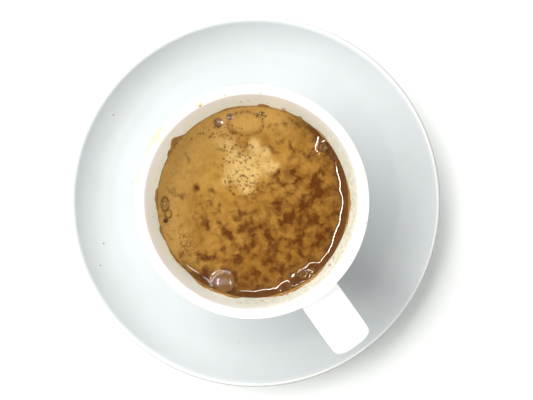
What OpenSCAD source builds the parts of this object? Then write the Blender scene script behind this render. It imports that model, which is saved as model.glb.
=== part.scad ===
// Espresso shot: a porcelain cup with a flat strap handle, its saucer, the coffee and the crema on it.
// The origin is the centre of the saucer's foot, on the table. +Z is up and the handle points along +X.

/* [Cup] */
// Outer diameter of the rim
rim_d = 62; // [54:1:76]
// Height from the foot to the top of the lip
cup_h = 54; // [44:1:66]
// Outer diameter of the foot ring
foot_d = 36; // [28:1:44]
// Height of the foot ring's straight outer side
foot_h = 2.4; // [1.5:0.1:4]
// Width of the foot ring's flat bottom
foot_w = 2.6; // [2:0.1:4]
// Depth of the hollow inside the foot ring
foot_recess = 1.4; // [0.8:0.1:2.4]
// Thickness of the floor over that hollow
floor_t = 3.8; // [3:0.1:5]
// Wall thickness at the lip
lip_wall = 2.6; // [2:0.1:3.4]
// Wall thickness where the body leaves the foot
heel_wall = 4.2; // [3.4:0.1:5]
// Outward lean of the wall at the lip, in degrees
wall_lean = 7; // [3:1:12]
// Angle above level at which the body leaves the foot, in degrees
heel_angle = 30; // [20:1:45]
// How far the body runs out from the foot before it turns up
heel_pull = 8; // [5:0.5:11]
// How far down from the lip the wall keeps its lean
side_pull = 27; // [16:1:33]

/* [Handle] */
// Width of the strap
strap_w = 11.7; // [8:0.1:15]
// Thickness of the strap at its crown
strap_t = 5; // [3.6:0.1:6]
// How far the handle stands out past the rim
handle_out = 18.5; // [15:0.5:23]
// Drop from the top of the lip to the top of the strap
handle_drop = 5; // [3.5:0.5:9]
// Height of the lower joint above the cup's foot
handle_low = 16; // [13:0.5:20]
// Outer radius of the upper bend
handle_bend = 7.5; // [6.5:0.5:10]
// How far the strap leans back to the cup below the bend, in degrees
handle_tuck = 18; // [8:1:26]
// Angle above level of the strap at the lower joint, in degrees
handle_arrive = 15; // [0:1:25]
// How much the strap widens on each side where it joins the wall
joint_flare = 1.3; // [0.4:0.1:1.6]
// Length over which it widens
joint_run = 4; // [2:0.1:5]

/* [Saucer] */
// Diameter of the saucer
saucer_d = 120; // [98:1:144]
// Thickness of the saucer
saucer_t = 3.2; // [2.6:0.1:4]
// Thickness of its lip
saucer_lip_t = 2.6; // [2:0.1:3]
// Outer diameter of the saucer's foot ring
saucer_foot_d = 66; // [56:1:78]
// Width of that ring's flat bottom
saucer_foot_w = 2.4; // [1.8:0.1:3.2]
// Height of the hollow inside the ring
saucer_recess = 1.2; // [0.8:0.1:2]
// Gap round the cup's foot in the well
well_gap = 2.4; // [1.5:0.1:5]
// Depth of the well
well_depth = 1.2; // [0.8:0.1:1.6]
// Rise of the wing, in degrees
wing_tilt = 6; // [4:1:9]
// Slope of the turned-up edge at the lip, in degrees
edge_tilt = 48; // [36:1:60]
// Radius of the turned-up edge
edge_r = 20; // [15:1:24]

/* [Espresso] */
// Drop from the top of the lip to the level of the crema
fill_drop = 13; // [8:0.5:20]
// Thickness of the crema
crema_t = 3; // [2:0.5:5]
// How far the crema climbs the wall
meniscus_h = 1.2; // [0.6:0.1:1.6]
// Distance from the wall over which that climb fades
meniscus_run = 2.6; // [1.5:0.1:4]

/* [Hidden] */

// Small rounds that every glazed piece has.
foot_fillet = 0.5;
foot_slope = 60;
ring_fillet = 1;
well_fillet = 0.6;
well_slope = 45;

// How many steps each kind of curve takes.
$fn = 96;
curve_steps = 30;
floor_steps = 8;
lip_steps = 12;
fillet_steps = 4;
edge_steps = 16;
film_steps = 14;
root_steps = 5;
bend_steps = 10;
tail_steps = 16;
strap_sides = 24;

// The strap's section is between a box and an ellipse: 2 is an ellipse and more is squarer.
strap_power = 2.5;
// How far the strap's two ends reach into the wall, so that the flared corners end inside it.
root = 2.2;
// How much closer the strap's rings lie towards the lower joint, where 1 is evenly spaced.
tail_ease = 1.6;
// How firmly the strap's tail keeps its direction at the bend and at the lower joint, as a share of its length.
tail_hold = [0.45, 0.35];

porcelain = [0.96, 0.96, 0.94];
porcelain_cool = [0.88, 0.90, 0.90];
coffee_brown = [0.20, 0.09, 0.03];
crema_tan = [0.72, 0.50, 0.25];

// The value a share t of the way from a to b.
function mix(a, b, t) = a + (b - a) * t;

// The unit vector at an angle above level, and a vector turned a quarter turn to the left.
function dir(angle) = [cos(angle), sin(angle)];
function left_of(v) = [-v[1], v[0]];

// The point at t on a cubic curve with four control points, and its unit tangent there.
function curve_at(p, t) = pow(1 - t, 3) * p[0] + 3 * t * pow(1 - t, 2) * p[1]
    + 3 * t * t * (1 - t) * p[2] + t * t * t * p[3];
function curve_dir(p, t) = let (d = pow(1 - t, 2) * (p[1] - p[0])
    + 2 * t * (1 - t) * (p[2] - p[1]) + t * t * (p[3] - p[2])) d / norm(d);

// Points along an arc, both ends included.
function arc(centre, r, from, to, steps) =
    [for (i = [0:steps]) centre + r * dir(mix(from, to, i / steps))];

// ---- Cup: radius and height above its own foot ----

rim_r = rim_d / 2;
foot_r = foot_d / 2;
lip_r = lip_wall / 2;
lip_centre = [rim_r - lip_r, cup_h - lip_r];
wall_top = lip_centre + lip_r * dir(-wall_lean);
wall_curve = [
    [foot_r, foot_h],
    [foot_r, foot_h] + heel_pull * dir(heel_angle),
    wall_top - side_pull * dir(90 - wall_lean),
    wall_top
];

// Outside and inside of the wall at t, from 0 at the heel to 1 at the lip.
function outside(t) = curve_at(wall_curve, t);
function inside(t) = outside(t) + mix(heel_wall, lip_wall, t) * left_of(curve_dir(wall_curve, t));

// The floor runs level from the middle and then curves up into the wall.
floor_z = foot_recess + floor_t;
heel_in = inside(0);
floor_corner = heel_in - (heel_in[1] - floor_z) / sin(heel_angle) * dir(heel_angle);
floor_curve = [[0, floor_z], [heel_in[0] / 2, floor_z], floor_corner, heel_in];

// The hollow of the cup, from the middle of the floor to the lip.
hollow_line = concat(
    [for (i = [0:floor_steps - 1]) curve_at(floor_curve, i / floor_steps)],
    [for (i = [0:curve_steps]) inside(i / curve_steps)]
);

foot_in_r = foot_r - foot_fillet - foot_w;
outer_line = concat(
    [[0, foot_recess], [foot_in_r - foot_recess / tan(foot_slope), foot_recess], [foot_in_r, 0]],
    arc([foot_r - foot_fillet, foot_fillet], foot_fillet, -90, 0, fillet_steps),
    [for (i = [0:curve_steps]) outside(i / curve_steps)],
    arc(lip_centre, lip_r, 0, 180 - wall_lean, lip_steps)
);

// ---- Handle: x and z of the strap's centreline, in the cup's frame ----

strap_r = strap_t / 2;
bend_r = handle_bend - strap_r;
bend_centre = [rim_r + handle_out - handle_bend, cup_h - handle_drop - handle_bend];
strap_z = bend_centre[1] + bend_r;

// The wall's outside radius at a height, read along the wall's own curve.
outside_table = [for (i = [0:curve_steps]) let (p = outside(i / curve_steps)) [p[1], p[0]]];
function outside_r(z) = lookup(z, outside_table);

top_joint = [outside_r(strap_z), strap_z];
low_joint = [outside_r(handle_low), handle_low];
bend_end = bend_centre + bend_r * dir(-handle_tuck);
tail = norm(bend_end - low_joint);
tail_curve = [
    bend_end,
    bend_end + tail * tail_hold[0] * dir(-90 - handle_tuck),
    low_joint + tail * tail_hold[1] * dir(handle_arrive),
    low_joint
];

strap_path = concat(
    [for (i = [0:root_steps]) top_joint + [mix(-root, joint_run, i / root_steps), 0]],
    arc(bend_centre, bend_r, 90, -handle_tuck, bend_steps),
    [for (i = [1:tail_steps]) curve_at(tail_curve, 1 - pow(1 - i / tail_steps, tail_ease))],
    [low_joint - root * dir(handle_arrive)]
);
last_ring = len(strap_path) - 1;

// Unit direction of the path at point i, from its neighbours.
function path_dir(i) =
    let (d = strap_path[min(i + 1, last_ring)] - strap_path[max(i - 1, 0)]) d / norm(d);

// Distance from a joint along the strap, which is 0 inside the wall.
function joint_gap(p, joint) = p[0] < joint[0] ? 0 : norm(p - joint);

// Extra half width where a path point lies close to either joint.
function flare_at(p) = let (gap = min(joint_gap(p, top_joint), joint_gap(p, low_joint)))
    joint_flare * pow(max(0, 1 - gap / joint_run), 2);

// One side of a section's point: the sine or cosine, made squarer, times the half size.
function squarer(s, half) = half * sign(s) * pow(abs(s), 2 / strap_power);

function strap_ring(i) = let (
    p = strap_path[i],
    out = left_of(path_dir(i)),
    extra = flare_at(p)
) [
    for (k = [0:strap_sides - 1])
    let (
        angle = 360 * k / strap_sides,
        across = squarer(cos(angle), strap_w / 2 + extra),
        deep = squarer(sin(angle), strap_r + extra)
    )
    [p[0] + out[0] * deep, across, p[1] + out[1] * deep]
];

// ---- Saucer: radius and height above the table ----

well_z = saucer_recess + saucer_t;
well_r = foot_r + well_gap;

// The well's side leaves its floor in a hollow round and meets the wing in a full one.
well_top_z = well_z + well_depth;
hollow_round = [well_r, well_z + well_fillet];
slope_start = hollow_round + well_fillet * dir(well_slope - 90);
full_round_z = well_top_z - well_fillet * cos(wing_tilt);
slope_end_z = full_round_z + well_fillet * sin(90 + well_slope);
slope_end_r = slope_start[0] + (slope_end_z - slope_start[1]) / tan(well_slope);
full_round = [slope_end_r - well_fillet * cos(90 + well_slope), full_round_z];
wing_start = full_round + well_fillet * dir(90 + wing_tilt);

// The wing runs straight to the turned-up edge, which ends in a round lip.
saucer_lip_r = saucer_lip_t / 2;
edge_end_r = saucer_d / 2 - saucer_lip_r * (1 + sin(edge_tilt));
edge_start_r = edge_end_r - edge_r * (sin(edge_tilt) - sin(wing_tilt));
edge_start_z = wing_start[1] + (edge_start_r - wing_start[0]) * tan(wing_tilt);
edge_centre = [edge_start_r, edge_start_z] + edge_r * dir(90 + wing_tilt);
edge_lip = edge_centre + (edge_r + saucer_lip_r) * dir(edge_tilt - 90);

// The height of the wing's straight underside at a radius.
wing_under = edge_centre + (edge_r + saucer_t) * dir(wing_tilt - 90);
function under_z(r) = wing_under[1] - (wing_under[0] - r) * tan(wing_tilt);

ring_out = saucer_foot_d / 2;
ring_in = ring_out - foot_fillet - saucer_foot_w;
saucer_line = concat(
    [[0, well_z]],
    arc(hollow_round, well_fillet, -90, well_slope - 90, fillet_steps),
    arc(full_round, well_fillet, 90 + well_slope, 90 + wing_tilt, fillet_steps),
    arc(edge_centre, edge_r, wing_tilt - 90, edge_tilt - 90, edge_steps),
    [for (i = [1:lip_steps]) edge_lip + saucer_lip_r * dir(mix(90 + edge_tilt, 0, i / lip_steps))],
    [for (i = [0:edge_steps])
        let (t = i / edge_steps)
        edge_centre + (edge_r + mix(saucer_lip_t, saucer_t, t)) * dir(mix(edge_tilt, wing_tilt, t) - 90)],
    arc([ring_out + ring_fillet, under_z(ring_out + ring_fillet) - ring_fillet], ring_fillet, 90, 180, fillet_steps),
    arc([ring_out - foot_fillet, foot_fillet], foot_fillet, 0, -90, fillet_steps),
    [[ring_in, 0], [ring_in - saucer_recess / tan(foot_slope), saucer_recess], [0, saucer_recess]]
);

// ---- Drink: radius and height above the cup's foot ----

cup_z = well_z;
crema_z = cup_h - fill_drop;
coffee_z = crema_z - crema_t;
climb_z = crema_z + meniscus_h;

// The hollow's radius at a height, and its corners between two heights.
function hollow_r(z) = lookup(z, [for (p = hollow_line) [p[1], p[0]]]);
function corners(low, high) = [for (p = hollow_line) if (p[1] > low && p[1] < high) p];

// The free surface, from where the crema ends on the wall to the middle of the cup.
climb_r = hollow_r(climb_z);
surface_line = [
    for (i = [1:film_steps])
    let (gap = climb_r * pow(i / film_steps, 2))
    [climb_r - gap, crema_z + meniscus_h * exp(-gap / meniscus_run)]
];

module cup_body() {
    rotate_extrude() polygon(concat(outer_line, [[0, lip_centre[1]]]));
}

module cup_hollow() {
    rotate_extrude() polygon(concat(hollow_line, [[0, inside(1)[1]]]));
}

module handle_strap() {
    points = [for (i = [0:last_ring]) each strap_ring(i)];
    start_cap = [for (k = [0:strap_sides - 1]) k];
    end_cap = [for (k = [strap_sides - 1:-1:0]) last_ring * strap_sides + k];
    sides = [
        for (i = [0:last_ring - 1], k = [0:strap_sides - 1])
        let (a = i * strap_sides + k, b = i * strap_sides + (k + 1) % strap_sides)
        [a, a + strap_sides, b + strap_sides, b]
    ];
    polyhedron(points, concat([start_cap], sides, [end_cap]));
}

module cup() {
    color(porcelain)
    translate([0, 0, cup_z])
    difference() {
        union() {
            cup_body();
            handle_strap();
        }
        cup_hollow();
    }
}

module saucer() {
    color(porcelain_cool)
    rotate_extrude() polygon(saucer_line);
}

module coffee() {
    color(coffee_brown)
    translate([0, 0, cup_z])
    rotate_extrude() polygon(concat(
        [[0, floor_z]],
        corners(floor_z, coffee_z),
        [[hollow_r(coffee_z), coffee_z], [0, coffee_z]]
    ));
}

module crema() {
    color(crema_tan)
    translate([0, 0, cup_z])
    rotate_extrude() polygon(concat(
        [[0, coffee_z], [hollow_r(coffee_z), coffee_z]],
        corners(coffee_z, climb_z),
        [[climb_r, climb_z]],
        surface_line
    ));
}

saucer();
cup();
coffee();
crema();
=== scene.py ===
# The looks of an espresso in its porcelain cup and saucer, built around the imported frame.
# Lengths are in millimetres until a mesh is made. The frame's origin is the centre of the saucer's foot,
# +Z is up and the handle points along +X. Marks on the drink are placed as the camera sees them, by how far
# they lie to the right of the cup's axis and up from it.

import math

import bpy
import numpy as np
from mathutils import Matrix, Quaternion, Vector, noise


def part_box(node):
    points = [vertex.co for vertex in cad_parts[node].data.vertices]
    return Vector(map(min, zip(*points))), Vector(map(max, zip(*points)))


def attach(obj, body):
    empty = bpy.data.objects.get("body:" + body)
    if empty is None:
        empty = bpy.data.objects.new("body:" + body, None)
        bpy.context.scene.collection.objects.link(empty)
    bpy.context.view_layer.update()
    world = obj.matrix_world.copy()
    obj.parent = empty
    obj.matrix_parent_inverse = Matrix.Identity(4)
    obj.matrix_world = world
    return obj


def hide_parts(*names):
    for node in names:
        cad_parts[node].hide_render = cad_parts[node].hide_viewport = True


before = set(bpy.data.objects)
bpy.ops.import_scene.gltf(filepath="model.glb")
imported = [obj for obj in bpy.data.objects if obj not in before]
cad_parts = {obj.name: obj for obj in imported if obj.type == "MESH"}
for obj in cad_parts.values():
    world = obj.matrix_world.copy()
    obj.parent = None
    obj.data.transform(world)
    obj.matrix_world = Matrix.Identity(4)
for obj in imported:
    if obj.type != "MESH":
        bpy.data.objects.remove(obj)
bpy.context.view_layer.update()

MM = 0.001

# ---- Sizes that the frame gives, as the lowest and highest corner of each node's box ----

cup_low, cup_high = np.array(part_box("cup")) / MM
saucer_low, saucer_high = np.array(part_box("saucer")) / MM
crema_low, crema_high = np.array(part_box("crema")) / MM

CUP_Z = cup_low[2]
CUP_TOP = cup_high[2]
CUP_H = CUP_TOP - CUP_Z
RIM_R = min(-cup_low[0], -cup_low[1], cup_high[1])
HANDLE_TIP = cup_high[0]
SAUCER_R = min(*-saucer_low[:2], *saucer_high[:2])
COFFEE_TOP = crema_low[2]
CREMA_CLIMB = crema_high[2]

# ---- Sizes of the cup, the same as in the CAD source ----

FOOT_R, FOOT_H, FOOT_W, FOOT_RECESS = 18.0, 2.4, 2.6, 1.4
FLOOR_T, LIP_WALL, HEEL_WALL = 3.8, 2.6, 4.2
WALL_LEAN, HEEL_ANGLE, HEEL_PULL, SIDE_PULL = 7.0, 30.0, 8.0, 27.0
STRAP_W, STRAP_T, STRAP_POWER = 11.7, 5.0, 2.5
HANDLE_DROP, HANDLE_LOW, HANDLE_BEND = 5.0, 16.0, 7.5
HANDLE_TUCK, HANDLE_ARRIVE, TAIL_HOLD = 18.0, 15.0, (0.45, 0.35)
STRAP_FILLET, STRAP_ROOT = 1.9, 1.8
STRAIGHT_STEPS, BEND_STEPS, TAIL_STEPS, ROOT_STEPS = 20, 40, 60, 4
SMALL_ROUND = 0.5

# ---- Sizes of the saucer ----

SAUCER_T, SAUCER_LIP_T, SAUCER_FOOT_R, SAUCER_FOOT_W, SAUCER_RECESS = 3.2, 2.6, 33.0, 2.4, 1.2
WELL_R, WELL_DEPTH, WELL_ROUND, WELL_SLOPE = 20.4, 1.2, 0.6, 45.0
WING_TILT, EDGE_TILT, EDGE_R, RING_ROUND = 6.0, 48.0, 20.0, 1.0
WELL_STEPS, WING_STEPS, EDGE_STEPS, SAUCER_TURNS = 8, 20, 40, 288

# ---- The drink ----

MENISCUS_H, MENISCUS_RUN = 1.2, 2.6
CREMA_Z = CREMA_CLIMB - MENISCUS_H

# How much brighter than plain white paper in even light the drink is lit where its colours were matched.
DRINK_LIGHT = 1.66

# The camera looks straight down, with its right-hand side this many degrees round from the handle.
VIEW_TURN = 54.5
CAMERA_RIGHT, CAMERA_UP, CAMERA_Z = 3.8, 0.5, 252.4
LENS, SENSOR = 49.8, 36.0


# ---- Small maths ----

def mix(a, b, t):
    return a + (b - a) * t


def polar(angle):
    """The unit vector at an angle in degrees."""
    a = math.radians(angle)
    return np.array([math.cos(a), math.sin(a)])


def left_of(v):
    return np.array([-v[1], v[0]])


def arc(centre, r, start, end, steps):
    """Points along an arc, both ends included."""
    return [np.asarray(centre) + r * polar(mix(start, end, i / steps)) for i in range(steps + 1)]


def bezier(p, t):
    return (1 - t) ** 3 * p[0] + 3 * t * (1 - t) ** 2 * p[1] + 3 * t * t * (1 - t) * p[2] + t ** 3 * p[3]


def bezier_dir(p, t):
    d = (1 - t) ** 2 * (p[1] - p[0]) + 2 * t * (1 - t) * (p[2] - p[1]) + t * t * (p[3] - p[2])
    return d / np.linalg.norm(d)


def fade(low, high, x):
    """0 at the low end and 1 at the high end, with a soft run between."""
    t = np.clip((x - low) / (high - low), 0, 1)
    return t * t * (3 - 2 * t)


def ridge(x, middle, width):
    """1 at the middle, fading to both sides."""
    return np.exp(-((x - middle) / width) ** 2)


def from_view(right, up):
    """Row x and y of a point given to the right and up of the cup's axis, as the camera sees it."""
    c, s = polar(VIEW_TURN)
    return right * c - up * s, right * s + up * c


def to_view(x, y):
    c, s = polar(VIEW_TURN)
    return x * c + y * s, y * c - x * s


def bearing_gap(x, y, bearing):
    """Degrees between each point's bearing from the handle and a given one."""
    return (np.degrees(np.arctan2(y, x)) - bearing + 180) % 360 - 180


def cloud(x, y, scale, seed, octaves=3):
    """Smooth noise between about -1 and 1, with features of the given size in millimetres."""
    return np.array([
        noise.fractal((px / scale, py / scale, seed), 1, 2, octaves)
        for px, py in zip(x, y)
    ])


# ---- Meshes ----

def linked(name, data):
    """A new object in the scene."""
    thing = bpy.data.objects.new(name, data)
    bpy.context.scene.collection.objects.link(thing)
    return thing


def smooth_object(name, mesh):
    mesh.polygons.foreach_set("use_smooth", [True] * len(mesh.polygons))
    return linked(name, mesh)


def solid_object(name, verts, faces):
    """A smooth mesh object from millimetre points."""
    mesh = bpy.data.meshes.new(name)
    mesh.from_pydata((np.asarray(verts) * MM).tolist(), [], faces)
    mesh.validate()
    return smooth_object(name, mesh)


def wear(thing, material):
    thing.data.materials.clear()
    thing.data.materials.append(material)


def finish_piece(piece, material, slot, *nodes):
    """Gives a piece its material and lets it ride on the frame, where it may stand for CAD nodes. The slot is
    not used.
    """
    wear(piece, material)
    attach(piece, "root")
    if nodes:
        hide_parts(*nodes)


def make_piece(name, verts, faces, material, slot, *nodes):
    piece = solid_object(name, verts, faces)
    finish_piece(piece, material, slot, *nodes)
    return piece


def faces_between(rings, turns, inward=False):
    """Faces through rings of point numbers in order, where a ring may also be a single point."""
    faces = []
    for a, b in zip(rings, rings[1:]):
        for j in range(turns):
            k = (j + 1) % turns
            face = list(dict.fromkeys([a[j % len(a)], a[k % len(a)], b[k % len(b)], b[j % len(b)]]))
            faces.append(face[:1] + face[:0:-1] if inward else face)
    return [face for face in faces if len(face) > 2]


def numbered(rings):
    """The points of all rings in one list, and each ring as the numbers of its points."""
    verts, numbers = [], []
    for ring in rings:
        numbers.append([len(verts) + j for j in range(len(ring))])
        verts += ring
    return verts, numbers


def lathe(profile, angles):
    """A closed body turned from a profile of radius and height that starts and ends on the axis."""
    cos_sin = [(math.cos(angle), math.sin(angle)) for angle in angles]
    rings = [[[r * c, r * s, z] for c, s in cos_sin] for r, z in profile[1:-1]]
    verts, rings = numbered([[[0, 0, profile[0][1]]]] + rings + [[[0, 0, profile[-1][1]]]])
    return verts, faces_between(rings, len(angles))


def swept(rings):
    """A closed body through rings of equally many points."""
    verts, rings = numbered(rings)
    return verts, [rings[0][::-1]] + faces_between(rings, len(rings[0])) + [rings[-1]]


def joined_mesh(piece, other):
    """The mesh of two closed pieces fused into one."""
    cut = piece.modifiers.new("fuse", "BOOLEAN")
    cut.operation = "UNION"
    cut.solver = "EXACT"
    cut.object = other
    bpy.context.view_layer.update()
    mesh = bpy.data.meshes.new_from_object(piece.evaluated_get(bpy.context.evaluated_depsgraph_get()))
    piece.modifiers.clear()
    return mesh


def paint(mesh, name, values):
    """Stores one number for each vertex, for a material to read."""
    attribute = mesh.attributes.new(name, "FLOAT", "POINT")
    attribute.data.foreach_set("value", np.asarray(values, np.float32))


def places(mesh):
    """The x, y and z of every vertex in millimetres."""
    co = np.zeros(len(mesh.vertices) * 3)
    mesh.vertices.foreach_get("co", co)
    return co.reshape(-1, 3).T / MM


# ---- Cup profile ----

WALL_STEPS, LIP_STEPS, FLOOR_STEPS, ROUND_STEPS = 64, 24, 14, 6

lip_r = LIP_WALL / 2
lip_centre = np.array([RIM_R - lip_r, CUP_H - lip_r])
wall_top = lip_centre + lip_r * polar(-WALL_LEAN)
wall_curve = [
    np.array([FOOT_R, FOOT_H]),
    np.array([FOOT_R, FOOT_H]) + HEEL_PULL * polar(HEEL_ANGLE),
    wall_top - SIDE_PULL * polar(90 - WALL_LEAN),
    wall_top,
]


def outside(t):
    return bezier(wall_curve, t)


def inside(t):
    return outside(t) + mix(HEEL_WALL, LIP_WALL, t) * left_of(bezier_dir(wall_curve, t))


floor_z = FOOT_RECESS + FLOOR_T
heel_in = inside(0)
floor_corner = heel_in - (heel_in[1] - floor_z) / math.sin(math.radians(HEEL_ANGLE)) * polar(HEEL_ANGLE)
floor_curve = [np.array([0, floor_z]), np.array([heel_in[0] / 2, floor_z]), floor_corner, heel_in]

inner_wall = [inside(i / WALL_STEPS) for i in range(WALL_STEPS + 1)]
outer_wall = [outside(i / WALL_STEPS) for i in range(WALL_STEPS + 1)]
hollow = [bezier(floor_curve, i / FLOOR_STEPS) for i in range(FLOOR_STEPS)] + inner_wall
hollow_rs, hollow_zs = np.array(hollow).T
outer_rs, outer_zs = np.array(outer_wall).T


def hollow_r(z):
    """Inner radius of the cup at a height above the table."""
    return np.interp(np.asarray(z) - CUP_Z, hollow_zs, hollow_rs)


def outside_r(z):
    """Outer radius of the cup's wall at a height above the cup's foot."""
    return np.interp(z, outer_zs, outer_rs)


def outside_lean(z):
    """How much the wall's radius grows with height there."""
    step = 0.2
    return (outside_r(z + step) - outside_r(z - step)) / (2 * step)


def cup_profile():
    ring_in = FOOT_R - SMALL_ROUND - FOOT_W
    soft = 0.3
    outer = (
        [[0, FOOT_RECESS], [ring_in - 3, FOOT_RECESS]]
        + arc([ring_in - soft - 1, FOOT_RECESS - soft], soft, 90, 20, ROUND_STEPS)
        + arc([ring_in + soft, soft], soft, 200, 270, ROUND_STEPS)
        + arc([FOOT_R - SMALL_ROUND, SMALL_ROUND], SMALL_ROUND, -90, 0, ROUND_STEPS)
        + outer_wall[:-1]
        + arc(lip_centre, lip_r, -WALL_LEAN, 180 - WALL_LEAN, LIP_STEPS)
    )
    return [np.array([p[0], p[1] + CUP_Z]) for p in outer + inner_wall[-2::-1] + hollow[:FLOOR_STEPS][::-1]]


def cup_angles(steps=300, crowding=0.6):
    """Angles round the cup, closer together near the handle."""
    t = np.linspace(-math.pi, math.pi, steps, endpoint=False)
    return t - crowding * np.sin(t)


# ---- Handle ----

def strap_path():
    """x and height above the cup's foot along the middle of the strap, from joint to joint."""
    half = STRAP_T / 2
    bend_r = HANDLE_BEND - half
    bend = np.array([HANDLE_TIP - HANDLE_BEND, CUP_H - HANDLE_DROP - HANDLE_BEND])
    top = bend[1] + bend_r
    high_joint = np.array([outside_r(top), top])
    low_joint = np.array([outside_r(HANDLE_LOW), HANDLE_LOW])
    bend_end = bend + bend_r * polar(-HANDLE_TUCK)
    tail = np.linalg.norm(bend_end - low_joint)
    curve = [
        bend_end,
        bend_end + tail * TAIL_HOLD[0] * polar(-90 - HANDLE_TUCK),
        low_joint + tail * TAIL_HOLD[1] * polar(HANDLE_ARRIVE),
        low_joint,
    ]
    run = bend[0] - high_joint[0]
    straight = [high_joint + [mix(-STRAP_ROOT, run, i / STRAIGHT_STEPS), 0] for i in range(STRAIGHT_STEPS)]
    tail_points = [bezier(curve, i / TAIL_STEPS) for i in range(1, TAIL_STEPS + 1)]
    root = [low_joint - STRAP_ROOT * i / ROOT_STEPS * polar(HANDLE_ARRIVE) for i in range(1, ROOT_STEPS + 1)]
    return np.array(straight + arc(bend, bend_r, 90, -HANDLE_TUCK, BEND_STEPS) + tail_points + root)


def respaced(path, fine, coarse, fine_run):
    """The same path with points close together near both ends."""
    along = np.concatenate([[0], np.cumsum(np.linalg.norm(np.diff(path, axis=0), axis=1))])
    total, s, stations = along[-1], 0, []
    while s < total:
        stations.append(s)
        near = min(s, total - s)
        s += fine if near < fine_run else min(coarse, fine + (near - fine_run) * 0.35)
    stations.append(total)
    return np.stack([np.interp(stations, along, path[:, k]) for k in (0, 1)], 1)


def strap_rings(sides=64):
    """Rings of a squarish strap that swells into the wall at both joints with a round fillet."""
    path = respaced(strap_path(), fine=0.14, coarse=0.8, fine_run=STRAP_ROOT + STRAP_FILLET + 1)
    heads = np.gradient(path, axis=0)
    heads /= np.linalg.norm(heads, axis=1)[:, None]
    turn = np.linspace(0, math.tau, sides, endpoint=False)
    across = np.sign(np.cos(turn)) * np.abs(np.cos(turn)) ** (2 / STRAP_POWER) * STRAP_W / 2
    deep = np.sign(np.sin(turn)) * np.abs(np.sin(turn)) ** (2 / STRAP_POWER) * STRAP_T / 2
    push = np.stack([across / STRAP_W, deep / STRAP_T], 1)
    push /= np.linalg.norm(push, axis=1)[:, None]
    rings = []
    for p, head in zip(path, heads):
        out = left_of(head)
        x, y, z = p[0] + out[0] * deep, across, p[1] + out[1] * deep
        slope = outside_lean(z)
        gap = (np.hypot(x, y) - outside_r(z)) / np.sqrt(1 + slope ** 2)
        u = np.clip(gap / STRAP_FILLET, 0.012, 1)
        swell = STRAP_FILLET * (1 - np.sqrt(1 - (1 - u) ** 2))
        x = x + out[0] * push[:, 1] * swell
        z = z + out[1] * push[:, 1] * swell
        y = y + push[:, 0] * swell
        rings.append(np.stack([x, y, z + CUP_Z], 1).tolist())
    return rings


# ---- Stains and painted shade on the porcelain ----

# Faint yellow smears on the lip: bearing, half its spread in degrees, radius, half its width, strength.
LIP_SMEARS = [
    (200, 4.5, 29.6, 1, 1), (223, 9, 30.2, 0.7, 0.45), (76, 16, 30.6, 0.6, 0.45), (28, 8, 30, 0.8, 0.4),
    (297, 3, 28.8, 0.6, 0.6), (180, 12, 29.4, 0.9, 0.35), (150, 16, 29, 0.7, 0.2),
]
FILM_FADE = 1.1


def lip_stain(x, y, z):
    r = np.hypot(x, y)
    total = np.zeros_like(x)
    for bearing, spread, radius, width, strength in LIP_SMEARS:
        d = np.hypot(bearing_gap(x, y, bearing) / spread, (r - radius) / width)
        total = np.maximum(total, strength * fade(1.3, 0.3, d))
    return total * (z > CUP_TOP - 3)


def wall_film(x, y, z):
    """Thin brown film on the inner wall just above the drink, uneven round the cup."""
    inner = np.hypot(x, y) < hollow_r(z) + 0.4
    height = 1 + 0.9 * cloud(x, y, 5, 7)
    thin = np.exp(-np.maximum(z - CREMA_CLIMB, 0) / (FILM_FADE * np.maximum(height, 0.2)))
    return thin * inner * (z > COFFEE_TOP)


def wall_stain_and_shade(x, y, z):
    """A faint yellow cast over the inner wall, fading towards the lip; painted shade makes it heavier on the
    lower right.
    """
    inner = np.hypot(x, y) < hollow_r(z) + 0.4
    low = fade(CUP_TOP - 1.8, CUP_TOP - 8, z)
    high = fade(CUP_TOP - 0.7, CUP_TOP - 5.5, z)
    return inner * mix(low, high, painted_shade_side(x, y)) * (z > COFFEE_TOP)


def painted_shade_side(x, y):
    """0 on the camera's left and 1 on its lower right, where painted shade makes the stain heavier and
    darker.
    """
    right, up = to_view(x, y)
    return fade(-0.4, 0.9, (0.87 * right - 0.50 * up) / RIM_R)


# ---- Materials ----

def smooth_ramp(tree, low, high, start, end):
    node = tree.nodes.new("ShaderNodeMapRange")
    node.interpolation_type = "SMOOTHSTEP"
    for name, number in (("From Min", low), ("From Max", high), ("To Min", start), ("To Max", end)):
        node.inputs[name].default_value = number
    return node


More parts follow.
